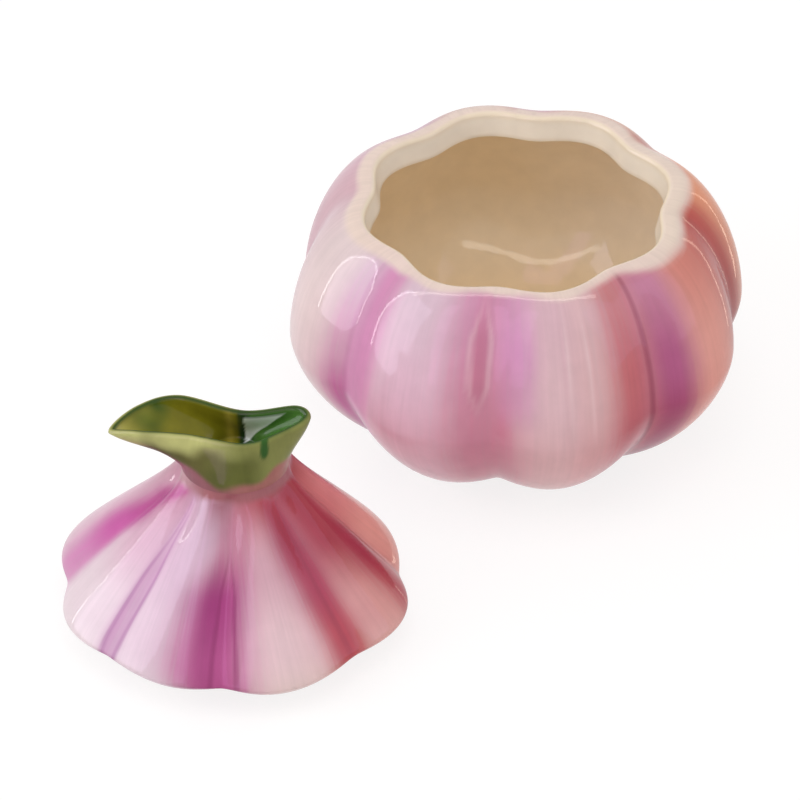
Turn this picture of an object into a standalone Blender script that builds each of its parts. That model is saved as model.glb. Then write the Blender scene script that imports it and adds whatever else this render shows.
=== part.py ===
# Garlic jar, a lobed ceramic keeper with its lid standing beside it, as photographed
# Metres, +Z up, the front of the set faces -Y
import math

import bmesh
import bpy
from mathutils import Vector

# Counts of the facets that each form is built from
lobe_count = 8
columns_per_lobe = 8
sprout_columns_per_span = 6
ring_columns = 64

# Jar body, driving sizes
jar_height = 0.070
belly_radius = 0.062
belly_height = 0.0338
base_radius = 0.036
floor_thickness = 0.0045
jar_wall = 0.0042

# Jar mouth, a scalloped collar with a rounded lip
rim_radius = 0.0439
mouth_radius = 0.0409
collar_depth = 0.0074
collar_taper = 0.0011
lip_start_degrees = 65.0

# Creases between the cloves of the jar, measured inward from the lobes
base_crease = 0.0057
belly_crease = 0.0043
rim_crease = 0.0031

# Jar foot ring, the unglazed ring that the jar stands on
foot_radius = 0.0295
foot_width = 0.0045
foot_height = 0.0022
foot_round = 0.0006

# Lid cap, a fluted cone with a bulged skirt that tucks under
cap_radius = 0.0451
cap_waist_height = 0.0062
cap_height = 0.0457
cap_base_radius = 0.0356
cap_opening_radius = 0.0272
cap_wall = 0.0042
neck_radius = 0.0139
neck_bore_radius = 0.0104
neck_lean = 0.0020
neck_lean_start = 0.0100

# Creases between the lobes of the cap
cap_base_crease = 0.0040
cap_skirt_crease = 0.0022
cap_cone_crease = 0.0030

# Lid foot ring, the unglazed ring that the lid stands on
lid_foot_radius = 0.0312
lid_foot_width = 0.0034
lid_foot_height = 0.0032
lid_foot_round = 0.0005

# Sprout handle, a pinched leaf cup luted on the neck of the cap
leaf_reach = 0.0314
sprout_depth = 0.0094
sprout_height = 0.0149
sprout_wall = 0.0019
sprout_floor = 0.0020
sprout_well_radius = 0.0062
spigot_length = 0.0030

# Fits between pieces and the place of the lid
seat_gap = 0.0003
spigot_clearance = 0.0003
standing_gap = 0.0038
weld_distance = 0.00001
lid_bearing_degrees = -41.2
jar_crease_degrees = -7.0
cap_crease_degrees = 0.0

# Exponents of the swelling curves, two makes an ellipse
lower_belly_fullness = 1.5
upper_belly_fullness = 1.7
inner_fullness = 1.6
skirt_fullness = 1.45

# Softness of a crease, nought is a sharp valley
belly_softness = 0.16
rim_softness = 0.8
inner_softness = 0.6
cap_softness = 0.2

# How much of an outer crease shows on the inside of the wall
inner_crease_share = 0.8
crease_gather_share = 0.5
rounding_share = 0.00001

# The cap is hand finished: each crease strays a little and has its own depth, and each lobe
# swells by its own share
even_lobes = (0.0,) * lobe_count
even_creases = (1.0,) * lobe_count
cap_drift_degrees = (-1.5, 2.6, 2.6, 2.0, 1.0, 2.0, 2.6, 0.0)
cap_lobe_shares = (0.03, 0.06, -0.03, -0.05, 0.0, 0.06, 0.01, -0.05)
cap_crease_shares = (1.25, 0.5, 1.0, 1.0, 1.0, 1.0, 1.0, 1.0)

# The cap's cone is one Bezier curve, its handles are shares of the cone's height and width
cone_foot_handle_share = 0.13
cone_neck_handle_share = 0.175
cone_neck_flare_share = 0.03

# Rise and flare of the sprout's columns, as shares of each column's own height and reach
neck_rise_share = 0.38
lip_rise_share = 0.44
lip_flare_share = 0.27

# Lip of the sprout: turn on the neck, then reach, depth and height, chosen by hand as shares
lip_shares = (
    (-0.250, -1.008, -0.05, 0.67),
    (-0.200, -0.785, -0.44, 0.77),
    (-0.117, -0.370, -0.72, 0.83),
    (0.028, 0.095, -1.000, 0.77),
    (0.139, 0.395, -0.66, 0.85),
    (0.236, 0.615, -0.12, 0.96),
    (0.320, 0.510, 0.36, 1.00),
    (0.472, 0.075, 0.38, 0.89),
    (0.625, -0.450, 0.96, 0.93),
    (0.700, -0.800, 0.69, 0.82),
)


def clear_scene():
    for item in list(bpy.data.objects):
        bpy.data.objects.remove(item, do_unlink=True)


def plain_material(name, colour, roughness):
    material = bpy.data.materials.new(name)
    material.use_nodes = True
    shader = material.node_tree.nodes["Principled BSDF"]
    shader.inputs["Base Color"].default_value = (*colour, 1.0)
    shader.inputs["Roughness"].default_value = roughness
    shader.inputs["Metallic"].default_value = 0.0
    return material


# Height of a lobe round the form: nought in the crease, one on the crown of the lobe
def lobe_swell(turn, softness):
    wave = math.sqrt(math.sin(turn * lobe_count / 2) ** 2 + softness ** 2)
    return (wave - softness) / (math.sqrt(1 + softness ** 2) - softness)


# A point of a profile is (radius, height, crease depth, crease softness)
def swelling_curve(belly, end, fullness, steps):
    points = []
    for step in range(1, steps + 1):
        angle = math.pi / 2 * step / steps
        out = math.cos(angle) ** (2 / fullness) if step < steps else 0.0
        rise = math.sin(angle) ** (2 / fullness)
        shares = (1 - out, rise, rise, rise)
        points.append(tuple(a + (b - a) * s for a, b, s in zip(belly, end, shares)))
    return points


def bezier(start, start_handle, end_handle, end, t):
    weights = ((1 - t) ** 3, 3 * t * (1 - t) ** 2, 3 * t ** 2 * (1 - t), t ** 3)
    columns = zip(start, start_handle, end_handle, end)
    return tuple(sum(w * c for w, c in zip(weights, column)) for column in columns)


def lip_centre():
    lip_radius = (rim_radius - mouth_radius) / 2
    return mouth_radius + lip_radius, jar_height - lip_radius, lip_radius


def jar_outside():
    centre_radius, centre_height, lip_radius = lip_centre()
    start = math.radians(lip_start_degrees)
    belly = (belly_radius, belly_height, belly_crease, belly_softness)
    base = (base_radius, foot_height + seat_gap, base_crease, belly_softness)
    lip = (
        centre_radius + lip_radius * math.cos(start),
        centre_height + lip_radius * math.sin(start),
        rim_crease,
        rim_softness,
    )
    lower = swelling_curve(belly, base, lower_belly_fullness, 7)
    upper = swelling_curve(belly, lip, upper_belly_fullness, 9)
    return lower[::-1] + [belly] + upper


def jar_lip():
    centre_radius, centre_height, lip_radius = lip_centre()
    points = []
    for share in (0.25, 0.5, 0.75, 1.0):
        angle = math.radians(lip_start_degrees + (180 - lip_start_degrees) * share)
        radius = centre_radius + lip_radius * math.cos(angle)
        points.append((radius, centre_height + lip_radius * math.sin(angle), rim_crease, rim_softness))
    return points


def jar_inside():
    inner_crease = belly_crease * inner_crease_share
    floor_height = foot_height + seat_gap + floor_thickness
    belly = (belly_radius - jar_wall, belly_height, inner_crease, inner_softness)
    collar = (mouth_radius - collar_taper, jar_height - collar_depth, rim_crease, rim_softness)
    cove = (base_radius - jar_wall, floor_height, 0.0, inner_softness)
    upper = swelling_curve(belly, collar, inner_fullness, 7)
    lower = swelling_curve(belly, cove, lower_belly_fullness, 6)
    return upper[::-1] + [belly] + lower


def jar_profile():
    underside = (0.0, foot_height + seat_gap, 0.0, rim_softness)
    floor = (0.0, foot_height + seat_gap + floor_thickness, 0.0, rim_softness)
    return [underside] + jar_outside() + jar_lip() + jar_inside() + [floor]


def cap_level():
    return lid_foot_height + seat_gap


def cap_cone(foot_radius_here, foot_height_here, neck_radius_here, top_height, crease, steps):
    rise = top_height - foot_height_here
    spread = foot_radius_here - neck_radius_here
    start = (foot_radius_here, foot_height_here)
    start_handle = (foot_radius_here, foot_height_here + rise * cone_foot_handle_share)
    end_handle = (
        neck_radius_here + spread * cone_neck_flare_share,
        top_height - rise * cone_neck_handle_share,
    )
    end = (neck_radius_here, top_height)
    points = []
    for step in range(1, steps + 1):
        t = step / steps
        radius, height = bezier(start, start_handle, end_handle, end, t)
        depths = (cap_skirt_crease, cap_cone_crease, cap_cone_crease, 0.0)
        depth = bezier(*((value,) for value in depths), t)[0]
        points.append((radius, height, depth * crease, cap_softness))
    return points


def cap_outside():
    level = cap_level()
    waist = (cap_radius, level + cap_waist_height, cap_skirt_crease, cap_softness)
    base = (cap_base_radius, level, cap_base_crease, cap_softness)
    tuck = swelling_curve(waist, base, skirt_fullness, 5)
    cone = cap_cone(cap_radius, level + cap_waist_height, neck_radius, level + cap_height, 1.0, 11)
    return tuck[::-1] + [waist] + cone


def cap_inside():
    level = cap_level()
    soft = inner_softness
    crease = cap_skirt_crease * inner_crease_share
    waist_height = level + cap_waist_height + cap_wall / 2
    waist = (cap_radius - cap_wall - cap_skirt_crease, waist_height, crease, soft)
    bore_height = level + cap_height - spigot_length
    cone = cap_cone(waist[0], waist[1], neck_bore_radius, bore_height, inner_crease_share, 9)
    bore = (neck_bore_radius, level + cap_height, 0.0, soft)
    opening_top = (cap_opening_radius, level + cap_wall, 0.0, soft)
    opening = (cap_opening_radius, level, 0.0, soft)
    skirt = swelling_curve(waist, opening_top, inner_fullness, 4)
    return [bore] + cone[::-1] + [waist] + skirt + [opening]


# Turns a profile about the vertical axis, then draws its creases inward
def lathe(bm, profile, closed, steps):
    depth_layer = bm.verts.layers.float.new("crease_depth")
    soft_layer = bm.verts.layers.float.new("crease_softness")
    verts = []
    for radius, height, depth, softness in profile:
        vert = bm.verts.new((radius, 0.0, height))
        vert[depth_layer] = depth
        vert[soft_layer] = softness
        verts.append(vert)
    edges = [bm.edges.new(pair) for pair in zip(verts, verts[1:])]
    if closed:
        edges.append(bm.edges.new((verts[-1], verts[0])))
    bmesh.ops.spin(
        bm,
        geom=verts + edges,
        axis=(0.0, 0.0, 1.0),
        cent=(0.0, 0.0, 0.0),
        angle=math.tau,
        steps=steps,
        use_merge=True,
    )
    bmesh.ops.remove_doubles(bm, verts=bm.verts[:], dist=weld_distance)
    return depth_layer, soft_layer


# Where a column stands once the columns are gathered toward the creases, with its lobe's number
def gathered_turn(turn, crease_degrees, drift_degrees):
    lobes = turn * lobe_count / math.tau
    lobe = math.floor(lobes + rounding_share)
    within = lobes - lobe
    within -= crease_gather_share * math.sin(math.tau * within) / math.tau
    here = drift_degrees[lobe % lobe_count]
    after = drift_degrees[(lobe + 1) % lobe_count]
    drift = math.radians(crease_degrees + here + (after - here) * within)
    return math.tau * (lobe + within) / lobe_count + drift, lobe % lobe_count, within


# Moves one column's point to its gathered place and draws the crease inward
def fluted_place(radius, turn, depth, softness, crease_degrees, drift_degrees, lobe_shares, crease_shares):
    place, lobe, within = gathered_turn(turn, crease_degrees, drift_degrees)
    swell = lobe_swell(math.tau * within / lobe_count, softness)
    extra = lobe_shares[lobe] * max(radius - neck_radius, 0.0) if depth else 0.0
    here, after = crease_shares[lobe], crease_shares[(lobe + 1) % lobe_count]
    reach = radius - depth * (here + (after - here) * within) * (1 - swell) + extra * swell
    return reach * math.sin(place), -reach * math.cos(place)


def draw_creases(bm, layers, flutes):
    depth_layer, soft_layer = layers
    for vert in bm.verts:
        radius = math.hypot(vert.co.x, vert.co.y)
        if radius < weld_distance:
            continue
        turn = math.atan2(vert.co.x, -vert.co.y)
        vert.co.x, vert.co.y = fluted_place(radius, turn, vert[depth_layer], vert[soft_layer], *flutes)


# The hand-set cone leans to one side, and its neck stands upright again under the sprout
def lean_neck(mesh):
    full_height = cap_level() + cap_height - spigot_length
    for vert in mesh.vertices:
        share = min(max((vert.co.z - neck_lean_start) / (full_height - neck_lean_start), 0.0), 1.0)
        vert.co.x += neck_lean * share * share * (3 - 2 * share)


def finish_mesh(bm, name, material, parent):
    bmesh.ops.recalc_face_normals(bm, faces=bm.faces[:])
    mesh = bpy.data.meshes.new(name)
    bm.to_mesh(mesh)
    bm.free()
    for polygon in mesh.polygons:
        polygon.use_smooth = True
    piece = bpy.data.objects.new(name, mesh)
    piece.data.materials.append(material)
    piece.parent = parent
    bpy.context.collection.objects.link(piece)
    return piece


def turned_ring(name, profile, material, parent):
    bm = bmesh.new()
    lathe(bm, profile, True, ring_columns)
    return finish_mesh(bm, name, material, parent)


def fluted_piece(name, profile, closed, material, parent, flutes):
    bm = bmesh.new()
    layers = lathe(bm, profile, closed, lobe_count * columns_per_lobe)
    draw_creases(bm, layers, flutes)
    return finish_mesh(bm, name, material, parent)


# Section of a foot ring, flat above and rounded at both lower corners
def foot_ring_profile(outer_radius, width, height, corner):
    inner_radius = outer_radius - width
    points = [(inner_radius, height), (outer_radius, height)]
    for centre_radius, start in ((outer_radius - corner, 0), (inner_radius + corner, -90)):
        for part in range(3):
            angle = math.radians(start - 45 * part)
            radius = centre_radius + corner * math.cos(angle)
            points.append((radius, corner + corner * math.sin(angle)))
    return [(radius, level, 0.0, 0.0) for radius, level in points]


# Smooth closed curve through hand-set points, one span at a time
def curve_point(points, span, t):
    count = len(points)
    before, start, end, after = (points[(span + k) % count] for k in (-1, 0, 1, 2))
    result = []
    for p, q, r, s in zip(before, start, end, after):
        bend = 2 * q + (r - p) * t + (2 * p - 5 * q + 4 * r - s) * t ** 2
        result.append((bend + (3 * q - p - 3 * r + s) * t ** 3) / 2)
    return result


def lip_columns():
    columns = []
    count = len(lip_shares)
    drift = [row[0] - k / count for k, row in enumerate(lip_shares)]
    rows = [(shift, *row[1:]) for shift, row in zip(drift, lip_shares)]
    for span in range(count):
        for step in range(sprout_columns_per_span):
            t = step / sprout_columns_per_span
            shift, reach, depth, height = curve_point(rows, span, t)
            turn = math.tau * (shift + (span + t) / count)
            lip = Vector((reach * leaf_reach, depth * sprout_depth, height * sprout_height))
            columns.append((turn, lip))
    return columns


# The lip stepped inward in plan by the wall, for the cup's inner edge
def lip_inset(columns, distance):
    count = len(columns)
    inset = []
    for k in range(count):
        along = columns[(k + 1) % count][1] - columns[k - 1][1]
        inward = Vector((-along.y, along.x, 0.0)).normalized()
        inset.append((columns[k][0], columns[k][1] + inward * distance))
    return inset


def sprout_loop(columns, foot_radius_here, foot_level, t):
    loop = []
    for turn, lip in columns:
        foot = Vector((math.sin(turn), -math.cos(turn), 0.0)) * foot_radius_here
        foot.z = foot_level
        rise = lip.z - foot_level
        foot_handle = foot.copy()
        foot_handle.z += rise * neck_rise_share
        lip_handle = lip - (lip - foot) * lip_flare_share
        lip_handle.z = lip.z - rise * lip_rise_share
        loop.append(Vector(bezier(foot, foot_handle, lip_handle, lip, t)))
    return loop


def level_loop(columns, radius, level):
    loop = []
    for turn, _ in columns:
        loop.append(Vector((math.sin(turn) * radius, -math.cos(turn) * radius, level)))
    return loop


def sprout_loops():
    outer = lip_columns()
    half_wall = sprout_wall / 2
    ridge = lip_inset(outer, half_wall)
    inner = lip_inset(outer, sprout_wall)
    spigot_radius = neck_bore_radius - spigot_clearance
    lower = [(turn, lip - Vector((0.0, 0.0, half_wall))) for turn, lip in outer]
    inner_lower = [(turn, lip - Vector((0.0, 0.0, half_wall))) for turn, lip in inner]
    loops = [
        level_loop(outer, spigot_radius, seat_gap - spigot_length),
        level_loop(outer, spigot_radius, 0.0),
    ]
    for step in range(8):
        loops.append(sprout_loop(lower, neck_radius, 0.0, step / 7))
    loops.append([lip for _, lip in ridge])
    for step in range(7):
        loops.append(sprout_loop(inner_lower, sprout_well_radius, sprout_floor, 1 - step / 6))
    return loops


def skin_loops(bm, loops):
    rows = [[bm.verts.new(point) for point in loop] for loop in loops]
    count = len(rows[0])
    for below, above in zip(rows, rows[1:]):
        for k in range(count):
            after = (k + 1) % count
            bm.faces.new((below[k], below[after], above[after], above[k]))
    bm.faces.new(rows[0][::-1])
    bm.faces.new(rows[-1])


def make_sprout(material, parent):
    bm = bmesh.new()
    skin_loops(bm, sprout_loops())
    piece = finish_mesh(bm, "sprout_handle", material, parent)
    piece.location.x = neck_lean
    piece.location.z = cap_level() + cap_height + seat_gap
    return piece


def jar_flutes():
    return jar_crease_degrees, even_lobes, even_lobes, even_creases


def cap_flutes():
    return cap_crease_degrees, cap_drift_degrees, cap_lobe_shares, cap_crease_shares


def make_lid(axis, glaze, clay, leaf):
    profile = cap_outside() + cap_inside()
    cap = fluted_piece("lid_cap", profile, True, glaze, axis, cap_flutes())
    lean_neck(cap.data)
    ring = foot_ring_profile(lid_foot_radius, lid_foot_width, lid_foot_height, lid_foot_round)
    turned_ring("lid_foot_ring", ring, clay, axis)
    make_sprout(leaf, axis)


def make_jar(axis, glaze, clay):
    fluted_piece("jar_body", jar_profile(), False, glaze, axis, jar_flutes())
    ring = foot_ring_profile(foot_radius, foot_width, foot_height, foot_round)
    turned_ring("jar_foot_ring", ring, clay, axis)


# How far a lobed ring reaches to each side of its axis, as its facets stand
def ring_reach(radius, crease, softness, flutes):
    count = lobe_count * columns_per_lobe
    turns = [math.tau * k / count for k in range(count)]
    points = [fluted_place(radius, turn, crease, softness, *flutes) for turn in turns]
    across, along = zip(*points)
    return min(across), max(across), min(along), max(along)


# The set's origin is under the middle of its outline, so the two axes are placed round it
def axis_places():
    bearing = math.radians(lid_bearing_degrees)
    distance = belly_radius + cap_radius + standing_gap
    lid_x = distance * math.sin(bearing)
    lid_y = -distance * math.cos(bearing)
    jar = ring_reach(belly_radius, belly_crease, belly_softness, jar_flutes())
    cap = ring_reach(cap_radius, cap_skirt_crease, cap_softness, cap_flutes())
    middle_x = (min(jar[0], lid_x + cap[0]) + max(jar[1], lid_x + cap[1])) / 2
    middle_y = (min(jar[2], lid_y + cap[2]) + max(jar[3], lid_y + cap[3])) / 2
    return (-middle_x, -middle_y), (lid_x - middle_x, lid_y - middle_y)


def make_axis(name, place):
    axis = bpy.data.objects.new(name, None)
    axis.location = (*place, 0.0)
    bpy.context.collection.objects.link(axis)
    return axis


def build():
    clear_scene()
    body_glaze = plain_material("rose_clove_glaze", (0.72, 0.45, 0.50), 0.15)
    cap_glaze = plain_material("rose_cap_glaze", (0.70, 0.40, 0.46), 0.15)
    leaf_glaze = plain_material("leaf_green_glaze", (0.20, 0.24, 0.04), 0.15)
    jar_clay = plain_material("bare_clay_jar_foot", (0.78, 0.70, 0.60), 0.7)
    lid_clay = plain_material("bare_clay_lid_foot", (0.78, 0.70, 0.60), 0.7)
    jar_place, lid_place = axis_places()
    make_jar(make_axis("jar_axis", jar_place), body_glaze, jar_clay)
    make_lid(make_axis("lid_axis", lid_place), cap_glaze, lid_clay, leaf_glaze)
    bpy.context.view_layer.update()
    for piece in bpy.data.objects:
        if piece.type == "MESH":
            print(piece.name, len(piece.data.polygons), "faces at", tuple(piece.matrix_world.translation))


build()
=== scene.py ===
import math

import bpy
from mathutils import Matrix, Vector, noise


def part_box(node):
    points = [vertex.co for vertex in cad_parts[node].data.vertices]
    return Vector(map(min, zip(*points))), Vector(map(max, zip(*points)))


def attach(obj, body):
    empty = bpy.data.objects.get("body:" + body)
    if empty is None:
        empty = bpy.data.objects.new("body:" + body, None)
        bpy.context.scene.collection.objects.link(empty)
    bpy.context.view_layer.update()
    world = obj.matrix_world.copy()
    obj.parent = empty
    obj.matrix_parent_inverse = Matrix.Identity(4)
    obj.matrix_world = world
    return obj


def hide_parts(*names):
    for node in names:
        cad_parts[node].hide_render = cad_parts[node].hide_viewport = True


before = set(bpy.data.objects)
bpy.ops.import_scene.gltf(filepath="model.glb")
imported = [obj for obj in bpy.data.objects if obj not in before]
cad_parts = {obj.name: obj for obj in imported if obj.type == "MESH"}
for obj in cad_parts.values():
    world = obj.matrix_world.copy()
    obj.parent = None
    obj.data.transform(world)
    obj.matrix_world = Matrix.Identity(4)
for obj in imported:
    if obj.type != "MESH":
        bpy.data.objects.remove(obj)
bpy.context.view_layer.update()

lobeCount = 8
jarAxis = sum(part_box("jar_foot_ring"), Vector()) / 2
lidAxis = sum(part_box("lid_foot_ring"), Vector()) / 2
jarAxis.z = lidAxis.z = 0.0


def colourOf(hexCode):  # an sRGB hex value as the linear colour that Blender works in
    parts = [int(hexCode[k:k + 2], 16) / 255 for k in (1, 3, 5)]
    return Vector([p / 12.92 if p <= 0.04045 else ((p + 0.055) / 1.055) ** 2.4 for p in parts])


def opaque(hexCode):
    return (*colourOf(hexCode), 1)


def mixed(first, second, share):
    return first + (second - first) * share


def eased(low, high, value):
    share = min(max((value - low) / (high - low), 0.0), 1.0)
    return share * share * (3 - 2 * share)


def alongKeys(keys, share):  # reads a value from evenly spaced keys, first key at 0, last key at 1
    place = min(max(share, 0.0), 1.0) * (len(keys) - 1)
    key = min(int(place), len(keys) - 2)
    return mixed(keys[key], keys[key + 1], eased(0, 1, place - key))


def turnGap(turn, centre):  # degrees from centre to turn, the short way round
    return (turn - centre + 180.0) % 360.0 - 180.0


def addNode(tree, kind, links, **settings):  # a node with its settings, sockets and links
    node = tree.nodes.new(kind)
    for name, value in settings.items():
        setattr(node, name, value)
    for socket, source in links.items():
        if isinstance(source, bpy.types.NodeSocket):
            tree.links.new(source, node.inputs[socket])
        else:
            node.inputs[socket].default_value = source
    return node


def newTree(name):
    material = bpy.data.materials.new(name)
    material.use_nodes = True
    material.node_tree.nodes.clear()
    return material, material.node_tree


def noiseOf(tree, vector, scale, detail):
    return addNode(tree, "ShaderNodeTexNoise", {"Vector": vector, "Scale": scale, "Detail": detail}).outputs["Fac"]


def ranged(tree, value, fromLow, fromHigh, low, high):
    sockets = {"Value": value, "From Min": fromLow, "From Max": fromHigh, "To Min": low, "To Max": high}
    return addNode(tree, "ShaderNodeMapRange", sockets).outputs[0]


def maths(tree, operation, first, second, kind="ShaderNodeMath"):
    return addNode(tree, kind, {0: first, 1: second}, operation=operation).outputs[0]


def vectorMaths(tree, operation, first, second):
    return maths(tree, operation, first, second, "ShaderNodeVectorMath")


def tinted(tree, first, second, share):
    return addNode(tree, "ShaderNodeMix", {0: share, 6: first, 7: second}, data_type="RGBA").outputs[2]


def bumped(tree, height, distance, **below):
    sockets = {"Height": height, "Distance": distance, "Strength": 1.0, **below}
    return addNode(tree, "ShaderNodeBump", sockets).outputs[0]


def shaded(material, sockets):
    shader = addNode(material.node_tree, "ShaderNodeBsdfPrincipled", sockets)
    addNode(material.node_tree, "ShaderNodeOutputMaterial", {"Surface": shader.outputs[0]})
    return material


# Clear gloss glaze over airbrushed underglaze colour, whose strokes break into fine streaks at their edges
def glazeMaterial(name, axis, finish):
    material, tree = newTree(name)
    place = addNode(tree, "ShaderNodeTexCoord", {}).outputs["Object"]
    centred = addNode(tree, "ShaderNodeMapping", {"Vector": place, "Location": -axis}).outputs[0]
    across = vectorMaths(tree, "MULTIPLY", centred, (1, 1, 0))
    unit = addNode(tree, "ShaderNodeVectorMath", {0: across}, operation="NORMALIZE").outputs[0]
    wrapped = vectorMaths(tree, "ADD", unit, vectorMaths(tree, "MULTIPLY", centred, (0, 0, 1)))

    def painted(attribute, output):
        return addNode(tree, "ShaderNodeAttribute", {}, attribute_name=attribute).outputs[output]

    def swing(value, centre, depth):  # noise as a swing of this depth about a centre
        return ranged(tree, value, *finish["noiseRange"], centre - depth, centre + depth)

    share = painted("strokeShare", "Fac")
    streaks = noiseOf(tree, wrapped, finish["streaks"], 4.0)
    edge = maths(tree, "MULTIPLY", maths(tree, "SUBTRACT", 1.0, share), share)
    edge = maths(tree, "MULTIPLY", edge, 4.0)
    broken = maths(tree, "ADD", share, maths(tree, "MULTIPLY", edge, swing(streaks, 0, finish["streakDepth"])))
    held = addNode(tree, "ShaderNodeClamp", {0: broken}).outputs[0]
    colour = tinted(tree, painted("groundTint", "Color"), painted("strokeTint", "Color"), held)
    mottle = swing(noiseOf(tree, place, 1 / finish["mottleSize"], 3.0), 1, finish["mottleDepth"])
    fine = maths(tree, "MULTIPLY", swing(streaks, 0, finish["streakShade"]), painted("brushed", "Fac"))
    shade = maths(tree, "MULTIPLY", mottle, maths(tree, "ADD", fine, 1.0))
    colour = addNode(tree, "ShaderNodeVectorMath", {0: colour, 3: shade}, operation="SCALE").outputs[0]
    spots = addNode(tree, "ShaderNodeTexVoronoi", {"Vector": place, "Scale": 1 / finish["speckSpacing"]})
    near = ranged(tree, spots.outputs["Distance"], 0.0, finish["speckSize"] / finish["speckSpacing"], 1.0, 0.0)
    few = addNode(tree, "ShaderNodeSeparateColor", {0: spots.outputs["Color"]}).outputs[0]
    speck = maths(tree, "MULTIPLY", near, maths(tree, "GREATER_THAN", few, 1 - finish["speckShare"]))
    speck = maths(tree, "MULTIPLY", speck, finish["speckStrength"])
    colour = tinted(tree, colour, opaque(finish["speck"]), speck)

    ripple = noiseOf(tree, place, 1 / finish["rippleSize"], 1.0)
    grain = noiseOf(tree, place, 1 / finish["grainSize"], 2.0)
    skin = bumped(tree, grain, finish["grainHeight"], Normal=bumped(tree, ripple, finish["rippleHeight"]))
    return shaded(material, {
        "Base Color": colour, "Roughness": finish["bodyRoughness"], "IOR": 1.5, "Normal": skin,
        "Specular IOR Level": finish["bodySpecular"], "Coat Weight": finish["glass"],
        "Coat Roughness": finish["glassRoughness"], "Coat IOR": 1.52, "Coat Normal": skin})


# Unglazed biscuit clay: matt, chalky, pale buff, with fine grog specks and a sanded grain
def clayMaterial(name, finish):
    material, tree = newTree(name)
    place = addNode(tree, "ShaderNodeTexCoord", {}).outputs["Object"]
    cloud = noiseOf(tree, place, 1 / finish["cloudSize"], 2.0)
    grog = noiseOf(tree, place, 1 / finish["grogSize"], 3.0)
    base = tinted(tree, opaque(finish["pale"]), opaque(finish["warm"]), cloud)
    dark = ranged(tree, grog, *finish["grogRange"], 0.0, finish["grogStrength"])
    colour = tinted(tree, base, opaque(finish["grog"]), dark)
    bump = bumped(tree, grog, finish["grainHeight"])
    return shaded(material, {"Base Color": colour, "Roughness": finish["roughness"], "IOR": 1.5, "Normal": bump})


# Each row of a section holds radius, height, crease depth and crease softness
def swellingRows(belly, end, fullness, steps):
    rows = []
    for step in range(1, steps + 1):
        angle = math.pi / 2 * step / steps
        out = math.cos(angle) ** (2 / fullness) if step < steps else 0.0
        rise = math.sin(angle) ** (2 / fullness)
        shares = (1 - out, rise, rise, rise ** 3)
        rows.append(tuple(mixed(a, b, s) for a, b, s in zip(belly, end, shares)))
    return rows


def straightRows(start, end, steps):
    return [tuple(mixed(a, b, k / steps) for a, b in zip(start, end)) for k in range(1, steps + 1)]


def bezier(start, startHandle, endHandle, end, t):
    weights = ((1 - t) ** 3, 3 * t * (1 - t) ** 2, 3 * t ** 2 * (1 - t), t ** 3)
    return [sum(w * c for w, c in zip(weights, four)) for four in zip(start, startHandle, endHandle, end)]


def lobeSwell(within, softness):  # 0 in the crease, 1 on the crown of the lobe
    wave = math.sqrt(math.sin(math.pi * within) ** 2 + softness ** 2)
    return (wave - softness) / (math.sqrt(1 + softness ** 2) - softness)


# Turns a section into a shell: one circle primitive laid on the section, then spun in edit mode
def spunShell(name, rows, closed, columns):
    bpy.ops.object.select_all(action="DESELECT")
    bpy.ops.mesh.primitive_circle_add(vertices=len(rows), radius=0.05)
    piece = bpy.context.object
    piece.name = piece.data.name = name
    # fall runs from 0 at the top of a painted wall to 1 at its foot
    # zone is 0 on the painted outside, rises to 1 over the lip, is 1 on the collar and 2 inside
    labels = ("creaseDepth", "creaseSoftness", "fall", "zone")
    for label in labels:
        piece.data.attributes.new(label, "FLOAT", "POINT")
    layers = [piece.data.attributes[label] for label in labels]
    for vertex, row in zip(piece.data.vertices, rows):
        vertex.co = (row[0], 0.0, row[1])
        for layer, value in zip(layers, row[2:]):
            layer.data[vertex.index].value = value
    last = len(rows) - 1
    for edge in piece.data.edges:
        edge.select = not closed and set(edge.vertices) == {0, last}
    for vertex in piece.data.vertices:
        vertex.select = not closed and vertex.index in (0, last)
    bpy.ops.object.mode_set(mode="EDIT")
    bpy.ops.mesh.select_mode(type="EDGE")
    if not closed:
        bpy.ops.mesh.delete(type="EDGE")
    bpy.ops.mesh.select_mode(type="VERT")
    bpy.ops.mesh.select_all(action="SELECT")
    bpy.ops.mesh.spin(steps=columns, angle=math.tau, center=(0, 0, 0), axis=(0, 0, 1))
    bpy.ops.mesh.select_all(action="SELECT")
    bpy.ops.mesh.remove_doubles(threshold=0.00001)
    bpy.ops.mesh.normals_make_consistent(inside=False)
    bpy.ops.object.mode_set(mode="OBJECT")
    bpy.ops.object.shade_smooth()
    return piece


# Where a column stands: columns gather toward the creases, and each crease strays by its drift
def gatheredTurn(turn, flutes):
    lobes = turn * lobeCount / math.tau
    lobe = math.floor(lobes + 1e-5)
    within = lobes - lobe
    within -= flutes["gather"] * math.sin(math.tau * within) / math.tau
    here, after = flutes["drift"][lobe % lobeCount], flutes["drift"][(lobe + 1) % lobeCount]
    drift = math.radians(flutes["crease"] + mixed(here, after, within))
    return math.tau * (lobe + within) / lobeCount + drift, lobe % lobeCount, within


def readLayer(piece, label):
    return [item.value for item in piece.data.attributes[label].data]


def writeLayer(piece, label, values):
    layer = piece.data.attributes.new(label, "FLOAT", "POINT")
    for item, value in zip(layer.data, values):
        item.value = value


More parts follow.
